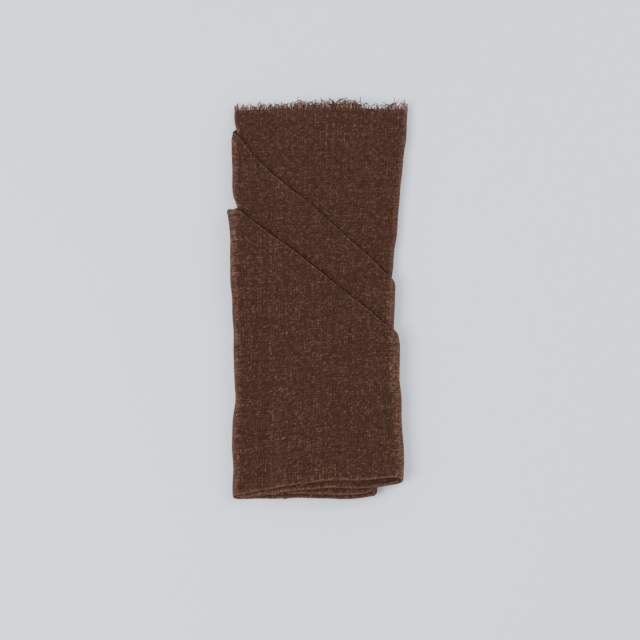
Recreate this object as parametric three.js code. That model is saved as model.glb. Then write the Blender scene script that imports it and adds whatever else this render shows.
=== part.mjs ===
// A square cloth table napkin with frayed edges, folded into a long upright pocket.
//
// The cloth is folded the way it is by hand. Two corners are tucked in on slanting creases, the square is
// folded in four, and both sides are turned under the middle. Every fold below turns a flat sheet of real
// thickness round a crease, so the result is one continuous sheet with its layers a little apart.
//
// Millimetres, +Z up, +Y towards the frayed top of the napkin. The origin is under its middle,
// on the surface that it lies on.
import * as THREE from "three";

// The cloth, laid out flat and centred on the origin.
const HALF_SIDE = 270; // from the middle of the cloth to its last woven threads
const CLOTH = 1.0; // thickness of one layer
const LAYER_GAP = 0.2; // air between two layers
const LAYER = CLOTH + LAYER_GAP;

// The frayed edges: a narrow woven strip, parted from the cloth, that carries the loose yarn ends.
const STRIP_WIDTH = 2.4;
const STRIP_GAP = 0.3;
const YARN_LENGTH = 6.0;
const YARN_WIDTH = 0.9;

// Where the folds lie, seen on the quarter of the cloth that ends up on top.
const QUARTER_FOLD_Y = 1.5; // the first fold misses the middle of the cloth by this much
const LOWER_POCKET = { from: [1.5, 270], to: [270, 36.1] };
const UPPER_POCKET = { from: [270, -65.8], to: [60.8, -270] };
const LOWER_TUCK_DEPTH = 38; // how far the lower tucked corner reaches behind its crease
const LEFT_TURN = { from: [92.5, 1.5], to: [86, 263.5] };
const RIGHT_TURN = { from: [191, 270], to: [191, 0] };
const TIGHT_RADIUS = 0.75; // middle of the cloth in its tightest side fold
const RIGHT_LOOP = 3.2; // open height inside the loose fold on the right
const STEPS = 4; // flats in a half turn

// The bottom edge of the middle panel climbs to the right, and comes down again in the side turned under.
const RISE = { height: 11, start: 96, peak: 191 };

// How far the layers take to come down over an edge beneath them.
const RAMP = 16;

const NEAR = 0.02; // a cut this close to a point goes through the point

// Positive to the left of the line, looking from its start to its end.
function leftOf({ from, to }) {
  const [dx, dy] = [to[0] - from[0], to[1] - from[1]];
  const length = Math.hypot(dx, dy);
  return (p) => (dx * (p[1] - from[1]) - dy * (p[0] - from[0])) / length;
}

const reversed = ({ from, to }) => ({ from: to, to: from });

// The same line, moved to its left.
function shifted({ from, to }, by) {
  const [dx, dy] = [to[0] - from[0], to[1] - from[1]];
  const length = Math.hypot(dx, dy);
  const [nx, ny] = [(-dy / length) * by, (dx / length) * by];
  return { from: [from[0] + nx, from[1] + ny], to: [to[0] + nx, to[1] + ny] };
}

// The part of a line between two values of x, which may lie past its ends. Its direction stays.
function spanned({ from, to }, x0, x1) {
  const at = (x) => [x, from[1] + ((to[1] - from[1]) * (x - from[0])) / (to[0] - from[0])];
  return from[0] < to[0] ? { from: at(x0), to: at(x1) } : { from: at(x1), to: at(x0) };
}

// Splits the faces of a sheet where distance(point) changes sign, on the edges that wanted() allows.
function cut(sheet, distance, wanted = () => true) {
  const { points } = sheet;
  const level = points.map((p) => {
    const d = distance(p);
    return Math.abs(d) < NEAR ? 0 : d;
  });
  const made = new Map();
  const crossing = (a, b) => {
    const [low, high] = a < b ? [a, b] : [b, a];
    const key = low * 1e6 + high;
    if (!made.has(key)) {
      const t = level[low] / (level[low] - level[high]);
      made.set(key, points.length);
      points.push(points[low].map((v, i) => v + (points[high][i] - v) * t));
      level.push(0);
    }
    return made.get(key);
  };
  sheet.faces = sheet.faces.flatMap((face) => {
    if (!face.some((a) => level[a] < 0) || !face.some((a) => level[a] > 0)) return [face];
    const loop = face.flatMap((a, i) => {
      const b = face[(i + 1) % face.length];
      const crosses = level[a] * level[b] < 0 && wanted(points[a], points[b]);
      return crosses ? [a, crossing(a, b)] : [a];
    });
    return split(loop, loop.map((a) => Math.sign(level[a])));
  });
}

// Parts a loop with one run of positive corners and one run of negative ones, where zeros lie between them.
function split(loop, signs) {
  const n = loop.length;
  const first = signs.findIndex((sign, i) => sign > 0 && signs.at(i - 1) <= 0);
  const turn = (list) => [...list.slice(first), ...list.slice(0, first)];
  const [corners, side] = [turn(loop), turn(signs)];
  const end = side.findIndex((sign) => sign <= 0);
  if (side[end] !== 0 || side[n - 1] !== 0 || end === n - 1) return [loop];
  if (side.slice(end).some((sign) => sign > 0)) return [loop];
  return [[corners[n - 1], ...corners.slice(0, end + 1)], corners.slice(end)];
}

// Where a point of the cloth goes when everything left of a crease turns over round an axis at a height.
// All layers bend over the same width of cloth, half the way round a circle of the crease's bend radius.
function turned(p, { line, axis, bend }) {
  const away = leftOf(line)(p);
  if (away <= 0) return p;
  const side = Math.sign(p[2] - axis);
  const radius = Math.abs(p[2] - axis);
  const width = Math.PI * bend;
  const angle = (Math.PI * away) / width;
  const now = away < width ? radius * Math.sin(angle) : width - away;
  const z = away < width ? axis + side * radius * Math.cos(angle) : axis - side * radius;
  const moved = shifted(line, now - away);
  return [p[0] + moved.from[0] - line.from[0], p[1] + moved.from[1] - line.from[1], z];
}

function fold(sheets, crease, steps = STEPS) {
  const away = leftOf(crease.line);
  for (const sheet of sheets) {
    for (let k = 0; k <= steps; k++) cut(sheet, (p) => away(p) - (k / steps) * Math.PI * crease.bend);
    sheet.points = sheet.points.map((p) => turned(p, crease));
  }
}

// Where a line ends up that lies wholly in the part that a fold turns over. Its left stays its left.
function carried(line, crease) {
  const from = turned([...line.from, crease.axis], crease);
  const to = turned([...line.to, crease.axis], crease);
  return { from: to.slice(0, 2), to: from.slice(0, 2) };
}

// 0 before a line and 1 a ramp's length to its left.
function ramp(line) {
  const away = leftOf(line);
  return (p) => Math.min(Math.max(away(p) / RAMP, 0), 1);
}

// Lets the cloth above a height come down where layers are missing beneath it. Each term says how far,
// and the line to whose left the layers are missing. What is left of the space is one layer's gap.
function settle(sheets, { height, terms, end }) {
  const share = (term) => (term.line ? ramp(term.line) : () => 1);
  const drops = terms.map((term) => [term.drop, share(term)]);
  const missing = (p) => drops.reduce((sum, [drop, of]) => sum + drop * of(p), 0);
  const [endDrop, endShare] = end ? [end.drop, share(end)] : [0, () => 0];
  const above = (p, q) => Math.min(p[2], q[2]) > height - 0.01;
  const past = end ? leftOf(shifted(end.line, RAMP + NEAR)) : () => -1;
  const inside = (p, q) => above(p, q) && past(p) <= 0 && past(q) <= 0;
  for (const sheet of sheets) {
    const cutAt = (line, wanted) => {
      cut(sheet, leftOf(line), wanted);
      cut(sheet, leftOf(shifted(line, RAMP)), wanted);
    };
    if (end) cutAt(end.line, above);
    for (const { line } of terms.filter((term) => term.line)) cutAt(line, inside);
    if (end) cut(sheet, (p) => missing(p) - endDrop * endShare(p), inside);
    sheet.points = sheet.points.map((p) => {
      if (p[2] <= height) return p;
      const drop = Math.max(missing(p), endDrop * endShare(p));
      const up = p[2] - height;
      const empty = drop + LAYER_GAP;
      return [p[0], p[1], height + (up < empty ? (up * LAYER_GAP) / empty : up - drop)];
    });
  }
}

// A flat sheet of cloth from convex cells, as points and faces.
function flatSheet(name, cells) {
  const points = [];
  const index = new Map();
  const at = ([x, y], z) => {
    const key = [x, y, z].map((v) => v.toFixed(3)).join();
    if (!index.has(key)) {
      index.set(key, points.length);
      points.push([x, y, z]);
    }
    return index.get(key);
  };
  const top = cells.map((cell) => cell.map((p) => at(p, CLOTH / 2)));
  const bottom = cells.map((cell) => cell.map((p) => at(p, -CLOTH / 2)).reverse());
  const key = (p, q) => [...p, ...q].map((v) => v.toFixed(3)).join();
  const edges = cells.flatMap((cell) => cell.map((p, i) => [p, cell[(i + 1) % cell.length]]));
  const known = new Set(edges.map(([p, q]) => key(p, q)));
  const rim = edges.filter(([p, q]) => !known.has(key(q, p)));
  const walls = rim.map(([p, q]) => [
    at(p, -CLOTH / 2), at(q, -CLOTH / 2), at(q, CLOTH / 2), at(p, CLOTH / 2),
  ]);
  return { name, points, faces: [...top, ...bottom, ...walls] };
}

// The same line on the other side of a mirror line, run the other way.
function mirrored({ from, to }, mirror) {
  const away = leftOf(mirror);
  const across = (p) => {
    const there = shifted(mirror, -2 * away(p)).from;
    return [p[0] + there[0] - mirror.from[0], p[1] + there[1] - mirror.from[1]];
  };
  return { from: across(to), to: across(from) };
}

// A line of the lower half of the cloth, seen on the folded quarter.
function acrossQuarter(line) {
  return mirrored(line, { from: [0, QUARTER_FOLD_Y], to: [1, QUARTER_FOLD_Y] });
}

// Seen on the folded quarter: the upper crease, and where the two tucked corners end.
const UPPER_CREASE = acrossQuarter(UPPER_POCKET);
const LOWER_TUCK_END = shifted(reversed(LOWER_POCKET), LOWER_TUCK_DEPTH);
const UPPER_TUCK_END = reversed(shifted(LOWER_POCKET, RAMP));

// The cloth itself: the square without its parted strips, and with the two tucked corners cut short
// inside the pockets, where nothing shows.
function clothOutline() {
  const r = HALF_SIDE - STRIP_WIDTH - STRIP_GAP;
  const cornerA = shifted(LOWER_POCKET, LOWER_TUCK_DEPTH);
  const cornerB = mirrored(acrossQuarter(UPPER_TUCK_END), UPPER_POCKET);
  const onTop = (line, y) => {
    const { from, to } = line;
    return [from[0] + ((to[0] - from[0]) * (y - from[1])) / (to[1] - from[1]), y];
  };
  const onSide = ({ from, to }, x) => {
    return [x, from[1] + ((to[1] - from[1]) * (x - from[0])) / (to[0] - from[0])];
  };
  return [
    [-r, -r],
    onTop(cornerB, -r),
    onSide(cornerB, r),
    onSide(cornerA, r),
    onTop(cornerA, r),
    [-r, r],
  ];
}

// The yarn ends on each side of the cloth. along runs with the side, and out points away from the cloth.
const FRINGES = [
  {
    name: "fringe_back_top",
    along: [-1, 0],
    out: [0, 1],
    from: -270,
    to: -4,
    runs: [
      { from: -266, to: -206, pitch: 4.6 },
      { from: -189, to: -88, pitch: 2.7 },
      { from: -75, to: -6, pitch: 4.6 },
    ],
  },
  {
    name: "fringe_front_top",
    along: [1, 0],
    out: [0, -1],
    from: -270,
    to: 57,
    runs: [
      { from: -266, to: -206, pitch: 4.6 },
      { from: -189, to: -88, pitch: 2.7 },
      { from: -75, to: 53, pitch: 4.6 },
    ],
  },
  {
    name: "fringe_front_side",
    along: [0, 1],
    out: [1, 0],
    from: -62,
    to: 32.5,
    runs: [{ from: -55, to: 26, pitch: 6 }],
  },
  {
    name: "fringe_back_side",
    along: [0, -1],
    out: [-1, 0],
    from: -267.3,
    to: 267.3,
    runs: [{ from: -264, to: 264, pitch: 6 }],
  },
];

// A repeatable uneven number between -1 and 1 for each yarn.
const uneven = (n) => 2 * (Math.abs(Math.sin(n * 12.9898 + 4.1)) * 43758.5453 % 1) - 1;

// The parted strip, and its yarn ends as tapering teeth that lean and bend.
function fringeCells({ along, out, from, to, runs }) {
  const inner = HALF_SIDE - STRIP_WIDTH;
  const place = ([t, r]) => [
    Math.abs(along[0]) * t + out[0] * r,
    Math.abs(along[1]) * t + out[1] * r,
  ];
  const cells = [];
  const roots = [];
  for (const run of runs) {
    const count = Math.round((run.to - run.from) / run.pitch);
    for (let i = 0; i <= count; i++) {
      const t = run.from + ((run.to - run.from) * i) / count;
      const lean = 0.9 * uneven(t);
      const tip = [t + lean, HALF_SIDE + YARN_LENGTH * (0.86 + 0.2 * uneven(t + 57))];
      const root = [[t - YARN_WIDTH / 2, HALF_SIDE], [t + YARN_WIDTH / 2, HALF_SIDE]];
      roots.push(...root);
      cells.push([...root, tip]);
    }
  }
  const rim = [[from, HALF_SIDE], ...roots, [to, HALF_SIDE]];
  cells.push([[from, inner], [to, inner], ...rim.reverse()]);
  const clockwise = Math.abs(along[0]) * out[1] - Math.abs(along[1]) * out[0] < 0;
  return cells.map((cell) => (clockwise ? cell.map(place).reverse() : cell.map(place)));
}

// Heights of the middle of each layer in the folded quarter, counted down from the front one.
const SECOND = -2 * LAYER;
const THIRD = -4 * LAYER;
const BACK = -6 * LAYER;
const TALLEST = 5 * LAYER; // from the back layer to the front one where both tucks lie between them

// Tucks both corners and folds the square in four. The back layer is then the lowest.
function foldInFour(sheets) {
  fold(sheets, { line: LOWER_POCKET, axis: -LAYER / 2, bend: LAYER / 2 }, 3);
  fold(sheets, { line: UPPER_POCKET, axis: LAYER / 2, bend: LAYER / 2 }, 3);
  const across = { from: [1, QUARTER_FOLD_Y], to: [0, QUARTER_FOLD_Y] };
  fold(sheets, { line: across, axis: -LAYER, bend: LAYER });
  const along = { from: [0, 0], to: [0, 1] };
  fold(sheets, { line: along, axis: -3 * LAYER, bend: 2 * LAYER });
}

// Brings the layers of the folded quarter together where no tucked corner holds them apart.
function pressQuarter(sheets) {
  settle(sheets, { height: SECOND + CLOTH / 2, terms: [{ drop: LAYER, line: LOWER_TUCK_END }] });
  settle(sheets, { height: THIRD + CLOTH / 2, terms: [{ drop: LAYER, line: UPPER_TUCK_END }] });
  settle(sheets, { height: BACK + CLOTH / 2, terms: [{ drop: LAYER }] });
}

// The bottom fold runs uphill across the panel, and comes down again in the part that turns under.
function liftBottom(sheets) {
  const { height, start, peak } = RISE;
  const far = HALF_SIDE + YARN_LENGTH;
  const rise = (x) => {
    if (x <= start) return 0;
    return x < peak ? (x - start) / (peak - start) : (far - x) / (far - peak);
  };
  for (const sheet of sheets) {
    for (const x of [start, peak]) cut(sheet, (p) => p[0] - x);
    sheet.points = sheet.points.map(([x, y, z]) => [x, y + height * rise(x) * (1 - y / HALF_SIDE), z]);
  }
}

// The layers that are missing under the cloth in a side that is turned under.
function missingLayers(crease, x0, x1) {
  const place = (line) => carried(spanned(line, x0, x1), crease);
  return [
    { drop: LAYER, line: place(LOWER_TUCK_END) },
    { drop: 2 * LAYER, line: place(LOWER_POCKET) },
    { drop: LAYER, line: place(UPPER_TUCK_END) },
    { drop: 2 * LAYER, line: place(UPPER_CREASE) },
  ];
}

function turnSidesUnder(sheets) {
  const stack = TALLEST + LAYER; // a turned side with all its layers, and the gap above it
  const left = { line: LEFT_TURN, axis: BACK - TIGHT_RADIUS, bend: TIGHT_RADIUS + 1.5 * LAYER };
  fold(sheets, left);
  const leftBottom = left.axis - TIGHT_RADIUS - TALLEST - CLOTH / 2;
  settle(sheets, {
    height: leftBottom - LAYER_GAP,
    terms: missingLayers(left, 10, 60),
    end: {
      drop: stack + 2 * TIGHT_RADIUS - LAYER - RIGHT_LOOP,
      line: carried({ from: [0, 0], to: [0, 270] }, left),
    },
  });
  const right = {
    line: RIGHT_TURN,
    axis: leftBottom + (RIGHT_LOOP - LAYER_GAP) / 2,
    bend: RIGHT_LOOP / 2 + 2 * LAYER,
  };
  fold(sheets, right);
  const rightBottom = leftBottom - stack;
  settle(sheets, {
    height: rightBottom - LAYER_GAP,
    terms: missingLayers(right, 215, 265),
    end: { drop: stack, line: carried({ from: [HALF_SIDE, 270], to: [HALF_SIDE, 0] }, right) },
  });
  return rightBottom;
}

// The napkin is a little wider at the top and drawn in at the waist.
const SIDES = [
  { y: -5, left: 0.5, right: 1.4 },
  { y: 100, left: 2.2, right: -1.2 },
  { y: 135, left: 0.8, right: -3.0 },
  { y: 185, left: 0.5, right: 1.4 },
  { y: 285, left: -0.5, right: 12.4 },
];
const WAIST = { left: 86, still: 135, right: 192 };

function shapeSides(sheets) {
  const along = (y, key) => {
    const after = SIDES.findIndex((row) => row.y > y);
    if (after === 0) return SIDES[0][key];
    if (after < 0) return SIDES.at(-1)[key];
    const [low, high] = [SIDES[after - 1], SIDES[after]];
    return low[key] + ((high[key] - low[key]) * (y - low.y)) / (high.y - low.y);
  };
  for (const sheet of sheets) {
    for (const { y } of SIDES.slice(1, -1)) cut(sheet, (p) => p[1] - y);
    sheet.points = sheet.points.map(([x, y, z]) => {
      const left = Math.max((WAIST.still - x) / (WAIST.still - WAIST.left), 0);
      const right = Math.max((x - WAIST.still) / (WAIST.right - WAIST.still), 0);
      return [x + along(y, "left") * left + along(y, "right") * right, y, z];
    });
  }
}

// Moves everything so that the origin is under the middle of the box that holds the napkin.
function centre(sheets, bottom) {
  const all = sheets.flatMap((sheet) => sheet.points);
  const middle = [0, 1].map((i) => {
    const values = all.map((p) => p[i]);
    return (values.reduce((a, b) => Math.min(a, b)) + values.reduce((a, b) => Math.max(a, b))) / 2;
  });
  for (const sheet of sheets) {
    sheet.points = sheet.points.map(([x, y, z]) => {
      return [x - middle[0], y - middle[1], Math.max(z - bottom, 0)];
    });
  }
}

const minus = (a, b) => a.map((v, i) => v - b[i]);
const cross = (a, b) => [
  a[1] * b[2] - a[2] * b[1],
  a[2] * b[0] - a[0] * b[2],
  a[0] * b[1] - a[1] * b[0],
];

// Twice the area of a loop of points.
function doubleArea(loop) {
  const sum = [0, 0, 0];
  for (let i = 1; i + 1 < loop.length; i++) {
    cross(minus(loop[i], loop[0]), minus(loop[i + 1], loop[0])).forEach((v, k) => (sum[k] += v));
  }
  return Math.hypot(...sum);
}

// How far a loop of points is from lying on one straight line.
function breadth(loop) {
  const lengths = loop.map((p) => Math.hypot(...minus(p, loop[0])));
  return doubleArea(loop) / lengths.reduce((a, b) => Math.max(a, b));
}

// Cuts a face into triangles, the best shaped corner first, as long as what is left has breadth.
function trianglesOf(face, points) {
  const loop = [...face];
  const triangles = [];
  while (loop.length > 3) {
    let best = { score: -1 };
    for (let i = 0; i < loop.length; i++) {
      const ear = [loop.at(i - 1), loop[i], loop[(i + 1) % loop.length]];
      const corner = ear.map((k) => points[k]);
      const sides = corner.map((p, k) => Math.hypot(...minus(p, corner[(k + 1) % 3])) ** 2);
      const shape = doubleArea(corner) / (sides[0] + sides[1] + sides[2]);
      const rest = loop.filter((_, k) => k !== i).map((k) => points[k]);
      const score = Math.min(shape, breadth(rest));
      if (score > best.score) best = { score, i, ear };
    }
    triangles.push(best.ear);
    loop.splice(best.i, 1);
  }
  return [...triangles, loop];
}

function meshOf({ name, points, faces }, material) {
  const geometry = new THREE.BufferGeometry();
  geometry.setAttribute("position", new THREE.Float32BufferAttribute(points.flat(), 3));
  geometry.setIndex(faces.flatMap((face) => trianglesOf(face, points).flat()));
  geometry.computeVertexNormals();
  const mesh = new THREE.Mesh(geometry, material);
  mesh.name = name;
  return mesh;
}

const WOVEN = new THREE.MeshStandardMaterial({ color: 0x4e3229, roughness: 0.95, metalness: 0 });
const YARN = new THREE.MeshStandardMaterial({ color: 0x5f4137, roughness: 0.95, metalness: 0 });

const sheets = [
  flatSheet("napkin_cloth", [clothOutline()]),
  ...FRINGES.map((fringe) => flatSheet(fringe.name, fringeCells(fringe))),
];
foldInFour(sheets);
pressQuarter(sheets);
liftBottom(sheets);
const bottom = turnSidesUnder(sheets);
shapeSides(sheets);
centre(sheets, bottom);

const napkin = new THREE.Group();
for (const sheet of sheets) {
  napkin.add(meshOf(sheet, sheet.name === "napkin_cloth" ? WOVEN : YARN));
}

export default napkin;
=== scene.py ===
"""A square cloth napkin with frayed edges, folded into a long upright pocket.

The flat cloth is cut along its creases and folded the way it is by hand, so the sheet lies on the folds of
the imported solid. The folds are worked out in millimetres, and each mesh is made in metres at the end.
"""

import logging
import math
from collections.abc import Callable
from dataclasses import dataclass, field
from enum import Enum

import bpy
import numpy as np
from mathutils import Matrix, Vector


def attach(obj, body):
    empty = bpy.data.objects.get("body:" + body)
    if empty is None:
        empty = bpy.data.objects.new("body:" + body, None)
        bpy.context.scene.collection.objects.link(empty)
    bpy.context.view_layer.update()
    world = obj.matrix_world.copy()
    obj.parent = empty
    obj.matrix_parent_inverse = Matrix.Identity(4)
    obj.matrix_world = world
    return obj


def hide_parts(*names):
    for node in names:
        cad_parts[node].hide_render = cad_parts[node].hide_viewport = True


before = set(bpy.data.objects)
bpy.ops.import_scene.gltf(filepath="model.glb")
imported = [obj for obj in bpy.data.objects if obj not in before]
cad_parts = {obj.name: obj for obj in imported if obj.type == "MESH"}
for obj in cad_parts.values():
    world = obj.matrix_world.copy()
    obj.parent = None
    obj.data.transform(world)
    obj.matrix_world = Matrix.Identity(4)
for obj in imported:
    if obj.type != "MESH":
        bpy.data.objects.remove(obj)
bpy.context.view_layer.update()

LOG = logging.getLogger("napkin")
MM = 0.001
NEAR = 0.02  # a cut this close to a point goes through the point, in mm

Array = np.ndarray
Distance = Callable[[Array], Array]
Pair = tuple[float, float]
Triple = tuple[float, float, float]
Table = tuple[Pair, ...]


def smooth(share: Array) -> Array:
    """A soft step from 0 to 1."""
    share = np.clip(share, 0, 1)
    return share * share * (3 - 2 * share)


def read(table: Table, at: Array) -> Array:
    """A table's value at each place, on straight lines between its rows."""
    return np.interp(at, *zip(*table))


# Plan geometry


@dataclass(frozen=True)
class Line:
    """A directed line in plan, in mm."""

    start: Pair
    end: Pair

    @property
    def run(self) -> Triple:
        """How far the line runs along x and along y, and its length."""
        dx, dy = self.end[0] - self.start[0], self.end[1] - self.start[1]
        return dx, dy, math.hypot(dx, dy)

    def left_of(self, p: Array) -> Array:
        """How far points lie to the left of the line, less than 0 to its right."""
        dx, dy, length = self.run
        return (dx * (p[..., 1] - self.start[1]) - dy * (p[..., 0] - self.start[0])) / length

    def along(self, p: Array) -> Array:
        """How far points lie from the line's start, measured along it."""
        dx, dy, length = self.run
        return (dx * (p[..., 0] - self.start[0]) + dy * (p[..., 1] - self.start[1])) / length

    def normal(self) -> Array:
        """The unit vector to the line's left."""
        dx, dy, length = self.run
        return np.array([-dy, dx]) / length

    def shifted(self, by: float) -> "Line":
        """The same line, moved to its left."""
        n = self.normal() * by
        return Line((self.start[0] + n[0], self.start[1] + n[1]), (self.end[0] + n[0], self.end[1] + n[1]))

    def reversed(self) -> "Line":
        """The same line, run the other way."""
        return Line(self.end, self.start)

    def at_x(self, x: float) -> Pair:
        """The line's point at that x, which may lie past its ends."""
        dx, dy, _ = self.run
        return x, self.start[1] + dy * ((x - self.start[0]) / dx)

    def at_y(self, y: float) -> Pair:
        """The line's point at that y, which may lie past its ends."""
        dx, dy, _ = self.run
        return self.start[0] + dx * ((y - self.start[1]) / dy), y

    def spanned(self, x0: float, x1: float) -> "Line":
        """The part of the line between two values of x, in the line's own direction."""
        if self.start[0] < self.end[0]:
            return Line(self.at_x(x0), self.at_x(x1))
        return Line(self.at_x(x1), self.at_x(x0))

    def mirrored(self, mirror: "Line") -> "Line":
        """The line on the other side of a mirror line, run the other way.

        Args:
            mirror: the mirror line.

        Returns:
            The mirror image.
        """

        def across(p: Pair) -> Pair:
            """A point's mirror image."""
            by = -2 * float(mirror.left_of(np.array(p))) * mirror.normal()
            return p[0] + by[0], p[1] + by[1]

        return Line(across(self.end), across(self.start))


@dataclass(frozen=True)
class Crease:
    """A fold: its line, the height it turns round, and the radius that sets how much cloth it takes."""

    line: Line
    axis: float
    bend: float
    steps: int = 12

    @property
    def width(self) -> float:
        """The width of cloth in the bend."""
        return math.pi * self.bend

    def turned(self, p: Array) -> Array:
        """Where points go when everything left of the crease turns over.

        Args:
            p: points as rows of x, y and z.

        Returns:
            The points after the fold.
        """
        away = self.line.left_of(p)
        side, radius = np.sign(p[:, 2] - self.axis), np.abs(p[:, 2] - self.axis)
        angle = np.clip(math.pi * away / self.width, 0, math.pi)
        now = np.where(away < self.width, radius * np.sin(angle), self.width - away)
        moved = p.copy()
        moved[:, :2] += (now - away)[:, None] * self.line.normal()
        moved[:, 2] = self.axis + side * radius * np.cos(angle)
        return np.where((away > 0)[:, None], moved, p)

    def carried(self, line: Line) -> Line:
        """Where a line ends up that lies wholly in the part turned over. Its left stays its left."""
        ends = np.array([[*line.start, self.axis], [*line.end, self.axis]], float)
        a, b = self.turned(ends)
        return Line((b[0], b[1]), (a[0], a[1]))


RAMP = 16.0  # how far the layers take to come down over an edge beneath them, in mm
RAMP_KNOTS = np.linspace(0, 1, 5)
RAMP_SHARES = RAMP_KNOTS**2 * (3 - 2 * RAMP_KNOTS)


@dataclass(frozen=True)
class Missing:
    """Layers that are missing to the left of a line, or everywhere if there is no line."""

    drop: float
    line: Line | None = None

    def share(self, p: Array) -> Array:
        """0 before the line and 1 a ramp's length to its left, in soft steps."""
        if self.line is None:
            return np.ones(len(p))
        return np.interp(self.line.left_of(p) / RAMP, RAMP_KNOTS, RAMP_SHARES)


# The sheet


@dataclass
class Sheet:
    """A sheet of cloth or a set of yarn centre lines while it is folded.

    points are where its points are now, in mm. flat is where they lie on the flat cloth, x and y in mm, and
    then how sharply they are folded, from 0 to 1. faces are loops of point numbers, and yarns have none.
    """

    name: str
    points: Array
    flat: Array
    faces: list[list[int]] = field(default_factory=list)

    def cut(self, distance: Distance, wanted: Callable[[Array, Array], bool] | None = None) -> None:
        """Splits the faces where a distance changes sign.

        Args:
            distance: gives each point's signed distance.
            wanted: says whether an edge between two points may be cut. All may if it is left out.
        """
        if not self.faces:
            return
        level = distance(self.points)
        level = np.where(np.abs(level) < NEAR, 0.0, level).tolist()
        made: dict[tuple[int, int], int] = {}
        new_points: list[Array] = []
        new_flat: list[Array] = []
        first = len(self.points)

        def crossing(a: int, b: int) -> int:
            """Finds the point where the distance is zero on an edge.

            Args:
                a: one end's number.
                b: the other end's number.

            Returns:
                The new point's number.
            """
            low, high = (a, b) if a < b else (b, a)
            if (low, high) not in made:
                t = level[low] / (level[low] - level[high])
                made[low, high] = first + len(new_points)
                new_points.append(self.points[low] + (self.points[high] - self.points[low]) * t)
                new_flat.append(self.flat[low] + (self.flat[high] - self.flat[low]) * t)
                level.append(0.0)
            return made[low, high]

        faces = []
        for face in self.faces:
            signs = [level[a] for a in face]
            if min(signs) >= 0 or max(signs) <= 0:
                faces.append(face)
                continue
            loop = []
            for i, a in enumerate(face):
                b = face[(i + 1) % len(face)]
                loop.append(a)
                if level[a] * level[b] < 0 and (wanted is None or wanted(self.points[a], self.points[b])):
                    loop.append(crossing(a, b))
            faces += split(loop, [level[a] for a in loop])
        self.faces = faces
        if new_points:
            self.points = np.vstack([self.points, new_points])
            self.flat = np.vstack([self.flat, new_flat])


def split(loop: list[int], signs: list[float]) -> list[list[int]]:
    """Parts a loop with one run of positive corners and one of negative ones, where zeros lie between.

    Args:
        loop: the corners.
        signs: each corner's signed distance.

    Returns:
        Two loops, or the same one if it can't be parted.
    """
    n = len(loop)
    first = next(i for i in range(n) if signs[i] > 0 and signs[i - 1] <= 0)
    loop, side = loop[first:] + loop[:first], signs[first:] + signs[:first]
    end = next(i for i in range(n) if side[i] <= 0)
    if side[end] != 0 or side[-1] != 0 or end == n - 1 or any(s > 0 for s in side[end:]):
        return [loop]
    return [[loop[-1], *loop[: end + 1]], loop[end:]]


# Softness


@dataclass(frozen=True)
class Unevenness:
    """A smooth uneven surface that repeats the same way in each run.

    size is its usual height and wave its usual wavelength in mm. stretch makes the waves longer along y.
    """

    size: float
    wave: float
    seed: int
    stretch: float = 1.0
    waves: int = 14

    def at(self, x: Array, y: Array) -> Array:
        """The height at each place.

        Args:
            x: places along x, in mm.
            y: places along y, in mm.

        Returns:
            One height for each place.
        """
        rng = np.random.default_rng(self.seed)
        turn = rng.uniform(0, 2 * math.pi, self.waves)
        rate = 2 * math.pi / (self.wave * rng.uniform(0.65, 1.6, self.waves))
        phase = rng.uniform(0, 2 * math.pi, self.waves)
        total = np.zeros(np.shape(x))
        for k in range(self.waves):
            across = x * math.cos(turn[k]) + y / self.stretch * math.sin(turn[k])
            total = total + np.sin(rate[k] * across + phase[k])
        return self.size * total / math.sqrt(self.waves / 2)


@dataclass(frozen=True)
class Bow:
    """A smooth hump along a line: where its middle is, how far it reaches and how high it is, in mm."""

    middle: float
    reach: float
    size: float

    def at(self, along: Array) -> Array:
        """The hump's height at each place along the line."""
        return self.size * np.exp(-(((along - self.middle) / self.reach) ** 2))


@dataclass(frozen=True)
class PocketEdge:
    """A pocket's edge: its line with the pocket to its right, its layers' heights and its softness."""

    line: Line
    layers: Pair
    bows: tuple[Bow, ...]
    lift: float
    flare: float
    uneven: Unevenness
    bend: float = 3.0  # its own bend lies no further out than this
    bow_depth: float = 45.0
    lift_depth: float = 5.0
    flare_depth: float = 8.0
    flare_hump: Bow = Bow(4, 7, 1)  # measured in from the left side

    def soften(self, p: Array, side: Line) -> Array:
        """Moves the points of the edge's own layers.

        Args:
            p: points as rows of x, y and z.
            side: the line where the left side turns under, where the edge flares.

        Returns:
            The points with the edge bowed and lifted.
        """
        inside, along = -self.line.left_of(p), self.line.along(p)
        near = (p[:, 2] > self.layers[0]) & (p[:, 2] < self.layers[1]) & (inside > -self.bend)
        shift = sum(bow.at(along) for bow in self.bows) * np.exp(-((inside / self.bow_depth) ** 2))
        depth = np.maximum(inside, 0)
        rise = (self.lift + self.uneven.at(along, 0 * along)) * np.exp(-depth / self.lift_depth)
        rise = rise + self.flare * self.flare_hump.at(side.left_of(p)) * np.exp(-depth / self.flare_depth)
        move = np.column_stack([shift[:, None] * self.line.normal(), rise])
        return np.where(near[:, None], p + move, p)


# Where the sides of the folded napkin lie: y, then x.
LEFT_OUTLINE: Table = (
    (-140, -54.1), (-129, -55.6), (-110, -56.6), (-77, -55.3), (-30, -57.5), (3, -59.5),
    (36, -60.9), (54, -60.4), (71, -59.8), (98, -60.6), (128, -59.6),
)
RIGHT_OUTLINE: Table = (
    (-123, 54.0), (-110, 55.0), (-94, 54.7), (-63, 52.6), (-39, 53.6), (-33, 51.6), (-24, 49.9),
    (-12, 50.4), (0.6, 51.1), (11, 50.0), (28, 50.9), (62.3, 54.9), (97.5, 58.9), (115, 61.3),
    (128, 61.8),
)
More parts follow.
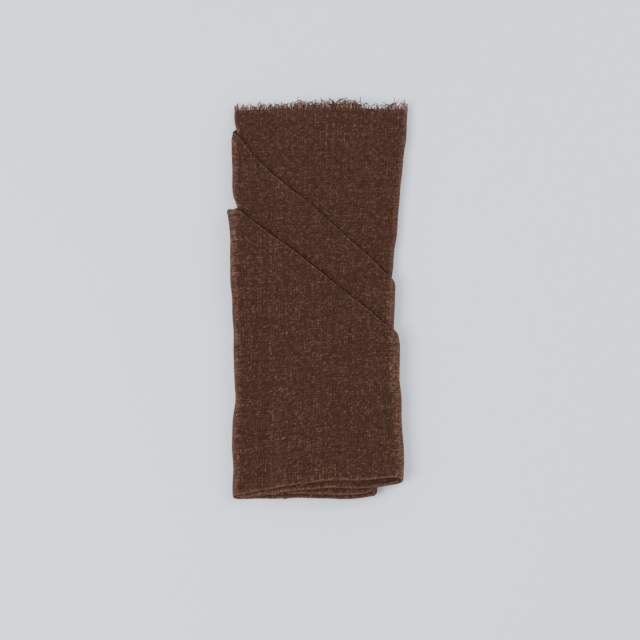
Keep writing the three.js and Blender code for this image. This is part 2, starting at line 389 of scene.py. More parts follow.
# How far the lower pair of layers stands out past the upper pair at the bottom, along x on the quarter.
LOWER_PAIR_OUT: Table = (
    (0, -2.4), (66, -2.4), (84, 0.0), (97, 1.6), (114, 2.8), (158, 4.6),
    (178, 4.4), (190, 3.8), (198, 0.2), (206, -1.2), (270, -1.2),
)
# How far the upper pair is lifted off the lower pair there.
UPPER_PAIR_UP: Table = ((150, 0.0), (165, 0.7), (178, 2.8), (187, 3.4), (191, 2.2), (196, 0.3), (200, 0.0))
# The heights between which the gap under the panel lies, along x near the folded napkin's bottom.
PANEL_FROM: Table = (
    (-60, 4.3), (-36, 4.3), (-30, 5.7), (-25, 8.4), (-20, 9.9), (0, 11.0),
    (15, 10.4), (31, 9.5), (37, 4.7), (50, 4.4), (57, 4.2),
)
PANEL_TO: Table = (
    (-60, 4.9), (-36, 4.9), (-30, 6.3), (-25, 9.0), (-20, 10.5), (0, 11.6),
    (15, 11.0), (31, 10.1), (37, 10.0), (50, 8.2), (57, 8.0),
)
# The height where the left flap starts there, how far it slides down, and how far the panel's edge climbs.
FLAP_FROM: Table = ((-36, -1.0), (-30, 0.6), (-25, 3.2), (-20, 4.4))
FLAP_SLIDE: Table = ((-57, 0.0), (-40, 0.4), (-13, 1.8), (12, 4.2), (34, 2.6), (40, 2.0), (50, 0.0))
PANEL_CLIMB: Table = (
    (-60, 0.6), (-50, 2.2), (-38, 3.6), (-24, 4.2), (0, 3.9),
    (12, 3.6), (23, 2.8), (34, 1.9), (46, 1.6), (54, 1.4),
)
# Where a pocket's corner pokes out at the left side: its top y, how far, and how fast that fades below.
POKES = ((57.5, 2.6, 17.0), (112.0, 1.3, 11.0))


# The folds


@dataclass
class PocketFold:
    """The napkin's folds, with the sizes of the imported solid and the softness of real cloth, in mm."""

    half_side: float = 270.0
    cloth: float = 1.0
    gap: float = 0.2
    quarter_fold_y: float = 1.5
    lower_pocket: Line = Line((1.5, 270), (270, 36.1))
    upper_pocket: Line = Line((270, -65.8), (60.8, -270))
    lower_tuck_depth: float = 38.0
    left_turn: Line = Line((92.5, 1.5), (86, 263.5))
    right_turn: Line = Line((191, 270), (191, 0))
    tight_radius: float = 0.75
    right_loop: float = 3.2
    rise_height: float = 11.0
    rise_start: float = 96.0
    rise_peak: float = 191.0
    yarn_length: float = 6.0
    cell: float = 4.0
    middle: Pair = (143.635, 140.055)
    floor: float = -22.4
    lowest: float = 0.48
    top: float = 17.0
    blend: float = 0.6  # the height over which one layer's move fades into the next one's
    sheets: list[Sheet] = field(default_factory=list)

    def __post_init__(self) -> None:
        """Works out the layer heights and the hidden lines."""
        self.layer = self.cloth + self.gap
        self.second, self.third, self.back = -2 * self.layer, -4 * self.layer, -6 * self.layer
        self.tallest = 5 * self.layer
        self.across_quarter = Line((0, self.quarter_fold_y), (1, self.quarter_fold_y))
        self.upper_crease = self.upper_pocket.mirrored(self.across_quarter)
        self.lower_tuck_end = self.lower_pocket.reversed().shifted(self.lower_tuck_depth)
        self.upper_tuck_end = self.lower_pocket.shifted(RAMP).reversed()

    def flat_cloth(self) -> Sheet:
        """Lays the cloth out flat, in small cells, with its tucked corners cut short where nothing shows.

        Returns:
            The sheet.
        """
        r = self.half_side
        corner_a = self.lower_pocket.shifted(self.lower_tuck_depth)
        corner_b = self.upper_tuck_end.mirrored(self.across_quarter).mirrored(self.upper_pocket)
        ends = [corner_b.at_y(-r), corner_b.at_x(r), corner_a.at_x(r), corner_a.at_y(r)]
        flat = np.array([(x, y, 0.0) for x, y in [(-r, -r), *ends, (-r, r)]])
        sheet = Sheet("cloth", flat.copy(), flat, [list(range(len(flat)))])
        for axis, middle in ((0, 0.0), (1, self.quarter_fold_y)):
            for k in range(-int(r / self.cell) - 1, int(r / self.cell) + 2):
                at = middle + k * self.cell
                if -r + 1 < at < r - 1:
                    sheet.cut(lambda p, axis=axis, at=at: p[:, axis] - at)
        return sheet

    def fold(self, crease: Crease) -> None:
        """Cuts each sheet where it bends, marks its bend and turns it over.

        Args:
            crease: the fold.
        """
        for sheet in self.sheets:
            for k in range(crease.steps + 1):
                at = k / crease.steps * crease.width
                sheet.cut(lambda p, at=at: crease.line.left_of(p) - at)
            share = np.clip(crease.line.left_of(sheet.points) / crease.width, 0, 1)
            sheet.flat[:, 2] = np.maximum(sheet.flat[:, 2], np.sin(math.pi * share))
            sheet.points = crease.turned(sheet.points)

    def settle(self, height: float, missing: list[Missing], end: Missing | None = None) -> None:
        """Lets the cloth above a height come down where layers are missing beneath it.

        Args:
            height: the top of the layer that stays.
            missing: the layers that are missing below, added up.
            end: where the whole pile below ends.
        """

        def dropped(p: Array) -> Array:
            """How far the missing layers let each point down."""
            return sum((m.drop * m.share(p) for m in missing), np.zeros(len(p)))

        def ended(p: Array) -> Array:
            """How far the end of the pile lets each point down."""
            return end.drop * end.share(p) if end else np.zeros(len(p))

        past = end.line.shifted(RAMP + NEAR) if end else None

        def above(p: Array, q: Array) -> bool:
            """Whether an edge lies above the layer that stays."""
            return min(p[2], q[2]) > height - 0.01

        def inside(p: Array, q: Array) -> bool:
            """Whether an edge lies above that layer and before the end of the pile."""
            return above(p, q) and (past is None or (past.left_of(p) <= 0 and past.left_of(q) <= 0))

        for sheet in self.sheets:
            if end:
                for knot in RAMP_KNOTS:
                    sheet.cut(end.line.shifted(RAMP * knot).left_of, above)
            for m in missing:
                for knot in RAMP_KNOTS if m.line else ():
                    sheet.cut(m.line.shifted(RAMP * knot).left_of, inside)
            if end:
                sheet.cut(lambda p: dropped(p) - ended(p), inside)
            p = sheet.points
            drop = np.maximum(dropped(p), ended(p))
            up, empty = p[:, 2] - height, drop + self.gap
            lower = height + np.where(up < empty, up * self.gap / empty, up - drop)
            p[:, 2] = np.where(up > 0, lower, p[:, 2])

    def fold_in_four(self) -> None:
        """Tucks both corners and folds the square in four. The back layer is then the lowest."""
        self.fold(Crease(self.lower_pocket, -self.layer / 2, self.layer / 2, 6))
        self.fold(Crease(self.upper_pocket, self.layer / 2, self.layer / 2, 6))
        y = self.quarter_fold_y
        self.fold(Crease(Line((1, y), (0, y)), -self.layer, self.layer, 8))
        self.fold(Crease(Line((0, 0), (0, 1)), -3 * self.layer, 2 * self.layer, 8))

    def soften_pockets(self) -> None:
        """Lets both pocket edges bow, stand a little off the cloth behind and flare at the left side."""
        lower_bow = (Bow(120, 30, -2.6),)
        lower = PocketEdge(self.lower_pocket, (-1.6, 0.6), lower_bow, 0.8, 3.2, Unevenness(0.35, 34, 5))
        upper_bows = (Bow(24, 17, 3.6), Bow(74, 26, -1.8))
        upper = PocketEdge(self.upper_crease, (-4.2, -1.8), upper_bows, 0.9, 0.6, Unevenness(0.35, 30, 6))
        for edge in (lower, upper):
            for sheet in self.sheets:
                sheet.points = edge.soften(sheet.points, self.left_turn)

    def press_quarter(self) -> None:
        """Brings the layers of the folded quarter together where no tucked corner holds them apart."""
        half = self.cloth / 2
        self.settle(self.second + half, [Missing(self.layer, self.lower_tuck_end)])
        self.settle(self.third + half, [Missing(self.layer, self.upper_tuck_end)])
        self.settle(self.back + half, [Missing(self.layer)])

    def lift_bottom(self) -> None:
        """Runs the bottom fold uphill across the panel, and down again in the part that turns under."""
        far = self.half_side + self.yarn_length
        for sheet in self.sheets:
            for x in (self.rise_start, self.rise_peak):
                sheet.cut(lambda p, x=x: p[:, 0] - x)
            x, y, z = sheet.points.T
            lower = smooth((self.back + 1.5 * self.layer - z) / self.blend + 0.5)
            out = read(LOWER_PAIR_OUT, x) * lower * smooth((60 - y) / 50)
            up = read(UPPER_PAIR_UP, x) * (1 - lower) * smooth((24 - y) / 20)
            rise = read(((self.rise_start, 0), (self.rise_peak, 1), (far, 0)), x)
            rise = self.rise_height * rise * (1 - y / self.half_side)
            sheet.points = np.column_stack([x, y + (rise - out), z + up])

    def missing_layers(self, crease: Crease, x0: float, x1: float) -> list[Missing]:
        """Finds the layers that are missing under the cloth in a side that is turned under.

        Args:
            crease: where the side turns under.
            x0: one end of that side, before it turns.
            x1: its other end.

        Returns:
            The missing layers.
        """
        lines = (
            (1, self.lower_tuck_end),
            (2, self.lower_pocket),
            (1, self.upper_tuck_end),
            (2, self.upper_crease),
        )
        return [Missing(n * self.layer, crease.carried(line.spanned(x0, x1))) for n, line in lines]

    def turn_sides_under(self) -> None:
        """Turns the left side under the panel, and the right side under the left one."""
        stack = self.tallest + self.layer
        tight, half = self.tight_radius, self.cloth / 2
        left = Crease(self.left_turn, self.back - tight, tight + 1.5 * self.layer)
        self.fold(left)
        bottom = left.axis - tight - self.tallest - half
        left_edge = left.carried(Line((0, 0), (0, 270)))
        end = Missing(stack + 2 * tight - self.layer - self.right_loop, left_edge)
        self.settle(bottom - self.gap, self.missing_layers(left, 10, 60), end)
        loop = self.right_loop
        right = Crease(self.right_turn, bottom + (loop - self.gap) / 2, loop / 2 + 2 * self.layer)
        self.fold(right)
        end = Missing(stack, right.carried(Line((self.half_side, 270), (self.half_side, 0))))
        self.settle(bottom - stack - self.gap, self.missing_layers(right, 215, 265), end)

    def centre(self) -> None:
        """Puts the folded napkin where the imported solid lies."""
        for sheet in self.sheets:
            sheet.points = sheet.points - np.array([*self.middle, self.floor])

    def fit_outline(self) -> None:
        """Moves both sides to the outline of the real napkin, and leaves the middle where it is."""
        cloth = self.sheets[0].points
        rows = np.arange(-142.0, 142.0, 2.0)
        held = np.clip(rows, -122, 126)  # past these the cloth is as wide as at them
        blur = np.hanning(13) / np.hanning(13).sum()
        for outline, sign in ((LEFT_OUTLINE, -1), (RIGHT_OUTLINE, 1)):
            reach = []
            for y in rows:
                band = sign * cloth[np.abs(cloth[:, 1] - y) < 3.0, 0]
                reach.append(band.max() if len(band) else 0.0)
            reach = np.interp(held, rows, reach)
            reach = np.convolve(np.pad(reach, 6, "edge"), blur, "valid")
            wanted = sign * read(outline, held) - self.cloth / 2
            wanted = np.convolve(np.pad(wanted, 1, "edge"), [0.25, 0.5, 0.25], "valid")
            for sheet in self.sheets:
                x, y, _ = sheet.points.T
                by = np.interp(y, rows, wanted - reach)
                sheet.points[:, 0] = x + sign * by * smooth((sign * x + 8) / 60)

    def loosen_flap(self) -> None:
        """Slides the left flap out at the bottom, and lets the panel's bottom edge climb off it."""
        for sheet in self.sheets:
            x, y, z = sheet.points.T
            low, high = read(PANEL_FROM, x), read(PANEL_TO, x)
            panel = smooth((z - low) / (high - low))
            flap = (1 - panel) * smooth((z - read(FLAP_FROM, x)) / self.blend)
            move = read(PANEL_CLIMB, x) * panel - read(FLAP_SLIDE, x) * flap
            sheet.points[:, 1] = y + move * smooth((-70 - y) / 55)

    def poke_corners(self) -> None:
        """Lets both pocket edges poke out a little where they meet the left side."""
        for top, size, fade in POKES:
            for sheet in self.sheets:
                x, y, _ = sheet.points.T
                below = np.maximum(top - 1.5 - y, 0)
                out = size * smooth((top - y) / 3.5) * np.exp(-((below / fade) ** 2))
                sheet.points[:, 0] = x - out * smooth((-x - 38) / 20)

    def rumple(self) -> None:
        """Makes the whole pile softly uneven. Layers keep their order, and the underside stays flat."""
        broad = Unevenness(0.55, 70, 11)
        fine = Unevenness(0.22, 19, 12, stretch=1.5)
        sway = Unevenness(0.35, 30, 13)
        for sheet in self.sheets:
            x, y, z = sheet.points.T
            z = np.maximum(z * (1 + (broad.at(x, y) + fine.at(x, y)) / self.top), self.lowest)
            side = sway.at(0 * x, y) * smooth(np.abs(x) / 60)
            ends = sway.at(x, 0 * y + 500) * smooth(np.abs(y) / 130)
            sheet.points = np.column_stack([x + side, y + ends, z])

    def run(self, sheets: list[Sheet]) -> None:
        """Makes every fold, in the order of the hand.

        Args:
            sheets: the cloth first, then the yarns that ride on it.
        """
        self.sheets = sheets
        self.fold_in_four()
        self.soften_pockets()
        self.press_quarter()
        self.lift_bottom()
        self.turn_sides_under()
        self.centre()
        self.fit_outline()
        self.loosen_flap()
        self.poke_corners()
        self.rumple()


# Frayed edges


class Side(Enum):
    """A side of the flat cloth: the direction along it and the direction out of it."""

    BACK_TOP = ((1, 0), (0, 1))
    FRONT_TOP = ((1, 0), (0, -1))
    FRONT_SIDE = ((0, 1), (1, 0))
    BACK_SIDE = ((0, 1), (-1, 0))


@dataclass(frozen=True)
class FrayedEdge:
    """Loose yarn ends along one side of the cloth, in mm. root is how far they start inside the weave."""

    node: str
    side: Side
    start: float
    stop: float
    seed: int
    tall: tuple[Bow, ...] = ()
    pitch: float = 1.5
    root: float = 1.8
    length: float = 6.6
    shortest: float = 1.2
    clump_pitch: float = 8.0
    stray_share: float = 0.12
    stray_length: float = 2.6
    bends: int = 9

    def centre_lines(self, half_side: float) -> tuple[Sheet, Array]:
        """The yarns' centre lines on the flat cloth.

        Args:
            half_side: from the middle of the cloth to the side.

        Returns:
            The lines as a sheet without faces, bends + 1 points for each yarn, and a shade for each point.
        """
        rng = np.random.default_rng(self.seed)
        count = int((self.stop - self.start) / self.pitch)
        t = self.start + self.pitch * (np.arange(count) + 0.5) + rng.uniform(-0.5, 0.5, count)
        knots = np.arange(self.start, self.stop + self.clump_pitch, self.clump_pitch)
        clump = np.interp(t, knots, rng.uniform(-1, 1, len(knots)))
        # Each yarn's length, and how it leans, curls, waves and lifts
        length = self.length * (0.6 + 0.2 * clump + rng.uniform(-0.36, 0.36, count))
        length = np.maximum(length, self.shortest) + sum((bow.at(t) for bow in self.tall), np.zeros(count))
        length = np.where(rng.uniform(0, 1, count) < self.stray_share, length + self.stray_length, length)
        lean = 0.3 * clump + rng.normal(0, 0.16, count)
        curl = np.clip(rng.normal(0, 1.4, count), -1.6, 1.6)
        wave, phase = rng.uniform(0.15, 0.6, count), rng.uniform(0, 2 * math.pi, count)
        lift = rng.uniform(-0.1, 0.6, count)
        shade = np.repeat(rng.uniform(0, 1, count), self.bends + 1)
        # Its line from root to tip, one row for each yarn
        t, length, lean, curl, wave, phase, lift = (
            a[:, None] for a in (t, length, lean, curl, wave, phase, lift)
        )
        reach = (length + self.root) * np.linspace(0, 1, self.bends + 1) - self.root
        free = np.clip(reach + 0.6, 0, None)
        out = half_side + reach - np.abs(curl) * free**2 / 26 * 0.55
        aside = t + lean * free + curl * np.minimum(free, 6.5) ** 3 / 90
        aside = aside + wave * np.sin(free * 1.25 + phase) * np.clip(free / 3, 0, 1)
        z = np.clip(lift * np.clip(free / 5, 0, 1) + 0.12 * np.sin(free * 1.7 + phase), -0.25, 0.6)
        along, outward = self.side.value
        x = aside * along[0] + out * outward[0]
        y = aside * along[1] + out * outward[1]
        points = np.column_stack([x.ravel(), y.ravel(), z.ravel()])
        return Sheet(self.node, points, points * [1, 1, 0]), shade


# Nodes


class Nodes:
    """One tree's nodes, made through one method."""

    def __init__(self, tree: bpy.types.NodeTree) -> None:
        """Empties the tree."""
        self.tree = tree
        tree.nodes.clear()

    def node(self, kind: str, settings: dict | None = None, **inputs: object) -> bpy.types.Node:
        """Makes one node.

        Args:
            kind: the node's type name.
            settings: properties that are set first. stops gives a ramp's places and colours.
            inputs: values or links, by socket name with _ for a space, or _0, _1 for a socket by number.

        Returns:
            The node.
        """
        made = self.tree.nodes.new(kind)
        for key, value in (settings or {}).items():
            if key == "stops":
                ramp = made.color_ramp
                while len(ramp.elements) < len(value):
                    ramp.elements.new(0.5)
                for element, (place, colour) in zip(ramp.elements, value):
                    element.position = place
                    element.color = (*colour, 1)
            else:
                setattr(made, key, value)
        for key, value in inputs.items():
            name = key[1:] if key.startswith("_") else key.replace("_", " ")
            socket = made.inputs[int(name)] if name.isdigit() else made.inputs[name]
            if isinstance(value, Value):
                value = value.socket
            if isinstance(value, bpy.types.NodeSocket):
                self.tree.links.new(value, socket)
            else:
                socket.default_value = value
        return made

    def value(
        self, kind: str, settings: dict | None = None, output: str | int = 0, **inputs: object
    ) -> "Value":
        """Makes one node and gives one of its outputs."""
        return Value(self, self.node(kind, settings, **inputs).outputs[output])

    def math(self, operation: str, *values: object) -> "Value":
        """Makes a Math node and gives its result."""
        inputs = {f"_{i}": value for i, value in enumerate(values)}
        return self.value("ShaderNodeMath", {"operation": operation}, **inputs)


def operator(operation: str, reflected: bool = False) -> Callable[..., "Value"]:
    """Makes a method that puts a Math node on a value.

    Args:
        operation: what the node does.
        reflected: whether the value itself comes last.

    Returns:
        The method.
    """

    def method(self: "Value", *others: object) -> "Value":
        """Gives the node's result."""
        return self.nodes.math(operation, *((*others, self) if reflected else (self, *others)))

    return method


class Value:
    """A node's output that can be used in Python expressions."""

    def __init__(self, nodes: Nodes, socket: bpy.types.NodeSocket) -> None:
        """Wraps an output socket."""
        self.nodes, self.socket = nodes, socket

    __add__, __radd__ = operator("ADD"), operator("ADD", reflected=True)
    __sub__, __rsub__ = operator("SUBTRACT"), operator("SUBTRACT", reflected=True)
    __mul__, __rmul__ = operator("MULTIPLY"), operator("MULTIPLY", reflected=True)
    __pow__, most = operator("POWER"), operator("MAXIMUM")
    sin, abs, floor = operator("SINE"), operator("ABSOLUTE"), operator("FLOOR")

    def step(self, low: float, high: float) -> "Value":
        """A soft step from 0 at low to 1 at high."""
        inputs = {"Value": self, "From_Min": low, "From_Max": high}
        return self.nodes.value("ShaderNodeMapRange", {"interpolation_type": "SMOOTHSTEP"}, **inputs)


# Finishes


def linear(r: float, g: float, b: float) -> Triple:
    """A colour of 0 to 255 sRGB values, in linear light."""
    return tuple(((c / 255 + 0.055) / 1.055) ** 2.4 if c > 10.3 else c / 255 / 12.92 for c in (r, g, b))


class Shader(Nodes):
    """A new material's nodes."""

    def __init__(self, name: str) -> None:
        """Starts an empty material."""
        self.material = bpy.data.materials.new(name)
        self.material.use_nodes = True
        super().__init__(self.material.node_tree)

    def attribute(self, name: str) -> Value:
        """One of the piece's own attributes."""
        return self.value("ShaderNodeAttribute", {"attribute_name": name}, "Fac")

    def surface(self, **inputs: object) -> bpy.types.Material:
        """Ends the material with its surface, and gives the material."""
        self.node("ShaderNodeOutputMaterial", Surface=self.value("ShaderNodeBsdfPrincipled", **inputs))
        return self.material


@dataclass(frozen=True)
class SlubbyWeave:
    """A loose plain weave of uneven yarns, dyed dark brown. Sizes in mm, colours in linear light."""

    name: str = "brown slubby weave"
    side: float = 560.0  # what the whole of the piece's UV map stands for
    pitch: float = 1.75
    wander: float = 1.5
    dark: Triple = linear(34, 18, 12)
    middle: Triple = linear(59, 36, 27)
    light: Triple = linear(112, 80, 64)
    base_tone: float = -0.03
    depth: float = 0.0006  # of the bumps, in metres
    sheen: Triple = linear(190, 150, 125)

    def noise(
        self, at: tuple[Value, Value], scale: Pair, seed: float, detail: float = 1
    ) -> Value:
        """Noise over the flat cloth.

        Args:
            at: the place along x and y.
            scale: the size of its blots along x and y.
            seed: a shift that sets it apart from other noise.
            detail: how many finer octaves it has.

        Returns:
            The noise, from 0 to 1.
        """
        nodes = at[0].nodes
        x, y = (a * (1 / size) for a, size in zip(at, scale))
        place = nodes.value("ShaderNodeCombineXYZ", X=x, Y=y, Z=seed)
        return nodes.value("ShaderNodeTexNoise", Vector=place, Scale=1.0, Detail=detail)

    def chance(self, shader: Shader, u: Value | float, v: Value | float, seed: float) -> Value:
        """A random number for each pair of whole numbers."""
        place = shader.value("ShaderNodeCombineXYZ", X=u, Y=v, Z=seed)
        return shader.value("ShaderNodeTexWhiteNoise", output="Value", Vector=place)

    def build(self) -> bpy.types.Material:
        """Makes the material.

        Returns:
            The material, which reads the piece's own UV map and the painted highlight on each bend.
        """
        s = Shader(self.name)
        uv = s.value("ShaderNodeUVMap", {"uv_map": "cloth"})
        parts = s.node("ShaderNodeSeparateXYZ", Vector=uv).outputs
        u, v = (Value(s, part) * self.side for part in parts[:2])
        # Yarns that wander over and under each other
        uw = u + (self.noise((u, v), (9, 16), 1.5) - 0.5) * self.wander * 2.4
        vw = v + (self.noise((u, v), (16, 9), 7.5) - 0.5) * self.wander * 2.4
        uw = uw + (self.noise((u, v), (2.4, 2.4), 3.1) - 0.5) * self.wander
        vw = vw + (self.noise((u, v), (2.4, 2.4), 5.7) - 0.5) * self.wander
        a, b = uw * (1 / self.pitch), vw * (1 / self.pitch)
        warp, weft = (a * math.pi).sin(), (b * math.pi).sin()
        over = (warp * weft).step(-0.35, 0.35)
        warp_round, weft_round = warp.abs() ** 0.7, weft.abs() ** 0.7
        thick_warp, thick_weft = self.noise((a, b), (1.0, 14), 11.0), self.noise((a, b), (14, 1.0), 13.0)
        raised = warp_round * over * (0.7 + 0.6 * thick_warp)
        raised = raised + weft_round * (1 - over) * (0.7 + 0.6 * thick_weft)
        # Uneven dye, thick places and stray fibres
        column, row = a.floor(), b.floor()
        nub = self.chance(s, column, row, 2.0)
        streak = self.chance(s, column, 0.0, 4.0) * 0.5 + self.chance(s, 0.0, row, 6.0) * 0.5
        slub = thick_warp.step(0.6, 0.76) * over * warp_round
        slub = slub.most(thick_weft.step(0.6, 0.76) * (1 - over) * weft_round)
        patch = self.noise((u, v), (26, 34), 17.0, 2)
        fibre = self.noise((u, v), (0.5, 0.5), 19.0, 2)
        crepe = self.noise((u, v), (2.4, 2.8), 23.0)
        dashes = self.noise((uw, vw), (3.6, 0.9), 29.0).most(self.noise((uw, vw), (0.9, 3.6), 31.0))
        slant = self.noise((uw + vw, uw - vw), (4.4, 1.5), 37.0)
        dashes = dashes.most(slant).step(0.42, 0.78)
        # What each adds to the tone and to the height
        marks = (
            (raised, 0.2, 0.45),
            (nub, 0.09, 0.12),
            (streak, 0.08, 0),
            (patch, 0.04, 0),
            (fibre, 0.16, 0.15),
            (slub, 0.16, 0.3),
            (crepe, 0.08, 0.5),
            (dashes, 0.34, 0.8),
            # painted highlight: the bends are made lighter, as if their edges caught the light
            (s.attribute("worn") ** 0.5, 0.2, 0),
        )
        tone = sum((mark * share for mark, share, _ in marks), self.base_tone)
        height = sum((mark * share for mark, _, share in marks if share), 0.0)
        stops = [(0.12, self.dark), (0.5, self.middle), (0.95, self.light)]
        return s.surface(
            Base_Color=s.value("ShaderNodeValToRGB", {"stops": stops}, Fac=tone),
            Roughness=0.95 - 0.08 * slub,
            Normal=s.value("ShaderNodeBump", Strength=1.0, Distance=self.depth, Height=height),
            Specular_IOR_Level=0.15,
            Sheen_Weight=0.16,
            Sheen_Roughness=0.5,
            Sheen_Tint=(*self.sheen, 1),
        )


@dataclass(frozen=True)
class LooseYarn:
    """Yarn ends, a little lighter than the weave because light gets in among them."""

    name: str = "brown loose yarn"
    dark: Triple = linear(62, 38, 29)
    light: Triple = linear(140, 105, 88)
    fibres: float = 1400.0  # to a metre
    depth: float = 0.0002

    def build(self) -> bpy.types.Material:
        """Makes the material.

        Returns:
            The material, which reads each yarn's own shade.
        """
        s = Shader(self.name)
        place = s.value("ShaderNodeTexCoord", output="Object")
        fibre = s.value("ShaderNodeTexNoise", Vector=place, Scale=self.fibres, Detail=2.0)
        tone = s.attribute("shade") * 0.65 + fibre * 0.35
        stops = [(0.1, self.dark), (0.95, self.light)]
        return s.surface(
            Base_Color=s.value("ShaderNodeValToRGB", {"stops": stops}, Fac=tone),
            Roughness=0.85 + 0.1 * fibre,
            Normal=s.value("ShaderNodeBump", Strength=0.6, Distance=self.depth, Height=fibre),
            Specular_IOR_Level=0.15,
            Sheen_Weight=0.2,
        )


# Pieces


@dataclass(frozen=True)
class YarnSweep:
    """The node tree that turns centre lines into tapering yarns. Sizes in mm."""

    name: str = "yarn sweep"
    width: float = 0.92
    sides: int = 5
    fray: float = 0.64
    fray_rate: float = 420.0  # its bends to a metre
    taper: float = 0.45

    def tree(self, material: bpy.types.Material) -> tuple[bpy.types.NodeTree, dict[str, str]]:
        """Builds the tree.

        Args:
            material: what the yarns are made of.

        Returns:
            The tree, and its inputs' identifiers by name.
        """
        tree = bpy.data.node_groups.new(self.name, "GeometryNodeTree")
        ids = {}
        kinds = {"Centre lines": "Geometry", "Yarn width": "Float", "Sides": "Int", "Fray": "Float"}
        for name, kind in {**kinds, "Seed": "Int"}.items():
            made = tree.interface.new_socket(name, in_out="INPUT", socket_type="NodeSocket" + kind)
            ids[name] = made.identifier
        tree.interface.new_socket("Yarns", in_out="OUTPUT", socket_type="NodeSocketGeometry")
        nodes = Nodes(tree)
        add = nodes.value
        given = nodes.node("NodeGroupInput").outputs
        along = add("GeometryNodeSplineParameter", output="Factor")
        # Loose ends sway more than roots
        bends = {"Vector": add("GeometryNodeInputPosition"), "Scale": self.fray_rate, "Detail": 1.0}
        sway = add("ShaderNodeTexNoise", {"noise_dimensions": "4D"}, "Color", W=given["Seed"], **bends)
        sway = add("ShaderNodeVectorMath", {"operation": "SUBTRACT"}, _0=sway, _1=(0.5, 0.5, 0.5))
        sway = add("ShaderNodeVectorMath", {"operation": "SCALE"}, _0=sway, Scale=along * given["Fray"])
        curve = add("GeometryNodeMeshToCurve", Mesh=given["Centre lines"])
        curve = add("GeometryNodeSetPosition", Geometry=curve, Offset=sway)
        # A ring swept along each, thinner at its tip
        thin = 1.0 - along**2.5 * self.taper
        curve = add("GeometryNodeSetCurveRadius", Curve=curve, Radius=thin)
        size = {"Resolution": given["Sides"], "Radius": Value(nodes, given["Yarn width"]) * 0.5}
        ring = add("GeometryNodeCurvePrimitiveCircle", {"mode": "RADIUS"}, **size)
        yarns = add("GeometryNodeCurveToMesh", Curve=curve, Profile_Curve=ring, Scale=thin, Fill_Caps=True)
        yarns = add("GeometryNodeSetShadeSmooth", Geometry=yarns)
        yarns = add("GeometryNodeRealizeInstances", Geometry=yarns)
        yarns = add("GeometryNodeSetMaterial", Geometry=yarns, Material=material)
        nodes.node("NodeGroupOutput", Yarns=yarns)
        return tree, ids

    def sweep(self, lines: bpy.types.Object, material: bpy.types.Material, seed: int) -> None:
        """Turns an object of centre lines into a plain mesh of yarns.

        Args:
            lines: the centre lines, as loose edges.
            material: what the yarns are made of.
            seed: sets the small uneven bends.
        """
        tree, ids = self.tree(material)
        modifier = lines.modifiers.new(self.name, "NODES")
        modifier.node_group = tree
        modifier[ids["Yarn width"]] = self.width * MM
        modifier[ids["Sides"]] = self.sides
        modifier[ids["Fray"]] = self.fray * MM
        modifier[ids["Seed"]] = seed
        ready = lines.evaluated_get(bpy.context.evaluated_depsgraph_get())
        made = bpy.data.meshes.new_from_object(ready)
        lines.modifiers.remove(modifier)
        lines.data = made
        bpy.data.node_groups.remove(tree)


def placed(name: str, data: bpy.types.ID) -> bpy.types.Object:
    """Puts a mesh, light or camera in the scene."""
    made = bpy.data.objects.new(name, data)
    bpy.context.scene.collection.objects.link(made)
    return made


def marked(
    name: str, sheet: Sheet, edges: list[tuple[int, int]], mark: str, values: Array
) -> bpy.types.Mesh:
    """Makes a mesh in metres out of a folded sheet.

    Args:
        name: its name.
        sheet: the sheet, in mm.
        edges: its loose edges.
        mark: the name of an attribute of its points.
        values: that attribute's values.

    Returns:
        The mesh.
    """
    mesh = bpy.data.meshes.new(name)
    mesh.from_pydata((sheet.points * MM).tolist(), edges, sheet.faces)
    mesh.attributes.new(mark, "FLOAT", "POINT").data.foreach_set("value", values.astype(np.float32))
    return mesh


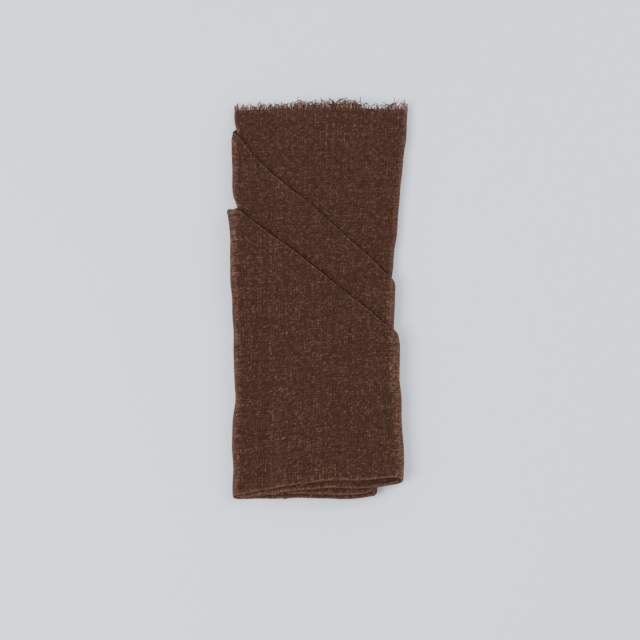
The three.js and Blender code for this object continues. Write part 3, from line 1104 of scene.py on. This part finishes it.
@dataclass
class Napkin:
    """The whole napkin: one folded sheet and its four frayed edges."""

    fold: PocketFold = field(default_factory=PocketFold)
    weave: SlubbyWeave = SlubbyWeave()
    yarn: LooseYarn = LooseYarn()
    sweep: YarnSweep = YarnSweep()
    thickness: float = 0.94
    flat_size: float = 0.552
    edges: tuple[FrayedEdge, ...] = (
        FrayedEdge("fringe_back_top", Side.BACK_TOP, -269.5, -4, 21, (Bow(-198, 8, 2.4), Bow(-88, 4, 2.4))),
        FrayedEdge(
            "fringe_front_top", Side.FRONT_TOP, -269.5, 57, 22, (Bow(-195, 8, 3.8), Bow(-88, 4, 4.0))
        ),
        FrayedEdge("fringe_front_side", Side.FRONT_SIDE, -62, 32.5, 23),
        FrayedEdge("fringe_back_side", Side.BACK_SIDE, -269.5, 269.5, 24),
    )

    def build(self) -> list[bpy.types.Object]:
        """Folds the cloth with its yarns on it, and makes the pieces.

        Returns:
            The cloth, then the frayed edges.
        """
        cloth = self.fold.flat_cloth()
        yarns = [edge.centre_lines(self.fold.half_side) for edge in self.edges]
        self.fold.run([cloth, *(lines for lines, _ in yarns)])
        material = self.yarn.build()
        pieces = [self.cloth_piece(cloth)]
        for edge, (lines, shade) in zip(self.edges, yarns):
            pieces.append(self.edge_piece(edge, lines, shade, material))
        return pieces

    def cloth_piece(self, sheet: Sheet) -> bpy.types.Object:
        """Makes the folded sheet, with its thickness and weave.

        Args:
            sheet: the folded cloth.

        Returns:
            The piece.
        """
        # how sharply each point is folded, which the weave turns into a painted highlight on the bends
        mesh = marked("folded_cloth", sheet, [], "worn", sheet.flat[:, 2])
        layer = mesh.uv_layers.new(name="cloth")
        corners = np.zeros(len(mesh.loops), np.int32)
        mesh.loops.foreach_get("vertex_index", corners)
        uv = (sheet.flat[corners, :2] + self.weave.side / 2) / self.weave.side
        layer.data.foreach_set("uv", uv.astype(np.float32).ravel())
        mesh.polygons.foreach_set("use_smooth", np.ones(len(mesh.polygons), bool))
        mesh.materials.append(self.weave.build())
        mesh.validate()
        piece = placed("folded_cloth", mesh)
        wall = piece.modifiers.new("thickness", "SOLIDIFY")
        wall.thickness = self.thickness * MM
        wall.offset = 0
        return piece

    def edge_piece(
        self, edge: FrayedEdge, sheet: Sheet, shade: Array, material: bpy.types.Material
    ) -> bpy.types.Object:
        """Makes the loose yarns of one side.

        Args:
            edge: the side.
            sheet: its yarns' folded centre lines.
            shade: each point's shade.
            material: what the yarns are made of.

        Returns:
            The piece.
        """
        steps = [(i, i + 1) for i in range(len(sheet.points)) if (i + 1) % (edge.bends + 1)]
        name = edge.node + "_yarns"
        piece = placed(name, marked(name, sheet, steps, "shade", shade))
        self.sweep.sweep(piece, material, edge.seed)
        return piece

    def attach(self, pieces: list[bpy.types.Object]) -> None:
        """Hangs every piece on the root, and hides the imported cloth and frayed edges.

        Args:
            pieces: the cloth, then the frayed edges.
        """
        cloth, *yarns = pieces
        for piece in pieces:
            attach(piece, "root")
        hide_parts("napkin_cloth")
        for edge, piece in zip(self.edges, yarns):
            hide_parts(edge.node)


@dataclass(frozen=True)
class Lamp:
    """A square soft light that looks at the napkin: its place and size in metres, and its watts."""

    name: str
    place: Triple
    size: float
    power: float

    def build(self) -> None:
        """Hangs the light."""
        light = bpy.data.lights.new(self.name, "AREA")
        light.size, light.energy = self.size, self.power
        lamp = placed(self.name, light)
        lamp.location = self.place
        lamp.rotation_euler = (-Vector(self.place)).to_track_quat("-Z", "Y").to_euler()


@dataclass(frozen=True)
class Studio:
    """A pale floor, even light from all round with more from three sides, and the camera."""

    aim: Triple = (0.0005, -0.0203, 0.0)
    distance: float = 0.784
    elevation: float = 75.0
    lens: float = 65.8
    sensor: float = 36.0
    floor_reach: float = 3.0
    floor_colour: Triple = linear(236, 244, 255)
    sky_colour: Triple = (0.95, 0.97, 1.0)
    sky_strength: float = 0.75
    lamps: tuple[Lamp, ...] = (
        Lamp("key", (-0.95, -0.42, 1.15), 0.8, 24),
        Lamp("rim", (0.9, 0.75, 0.8), 0.9, 10),
        Lamp("low right", (1.15, -0.5, 0.3), 0.9, 6),
    )

    def build(self) -> None:
        """Makes the floor, the lights and the camera."""
        self.floor()
        self.sky()
        for lamp in self.lamps:
            lamp.build()
        self.camera()

    def floor(self) -> None:
        """A wide plain floor, just under the napkin."""
        mesh = bpy.data.meshes.new("floor")
        r = self.floor_reach
        mesh.from_pydata([(-r, -r, 0), (r, -r, 0), (r, r, 0), (-r, r, 0)], [], [(0, 1, 2, 3)])
        look = {"Base_Color": (*self.floor_colour, 1), "Roughness": 0.9}
        mesh.materials.append(Shader("pale floor").surface(**look))
        placed("floor", mesh)

    def sky(self) -> None:
        """Even light from all round."""
        world = bpy.data.worlds.new("studio")
        world.use_nodes = True
        back = world.node_tree.nodes["Background"]
        back.inputs[0].default_value = (*self.sky_colour, 1)
        back.inputs[1].default_value = self.sky_strength
        bpy.context.scene.world = world

    def camera(self) -> None:
        """The camera, at the photograph's angle."""
        data = bpy.data.cameras.new("camera")
        data.lens, data.sensor_width = self.lens, self.sensor
        camera = placed("camera", data)
        up = math.radians(self.elevation)
        back = Vector((0, -math.cos(up), math.sin(up)))
        camera.location = Vector(self.aim) + back * self.distance
        camera.rotation_euler = (-back).to_track_quat("-Z", "Y").to_euler()
        bpy.context.scene.camera = camera


def main() -> None:
    """Builds the napkin and its studio."""
    logging.basicConfig(level=logging.INFO, format="%(name)s: %(message)s")
    napkin = Napkin()
    pieces = napkin.build()
    napkin.attach(pieces)
    for piece in pieces:
        LOG.info("%s: %d faces", piece.name, len(piece.data.polygons))
    Studio().build()


if __name__ == "__main__":
    main()
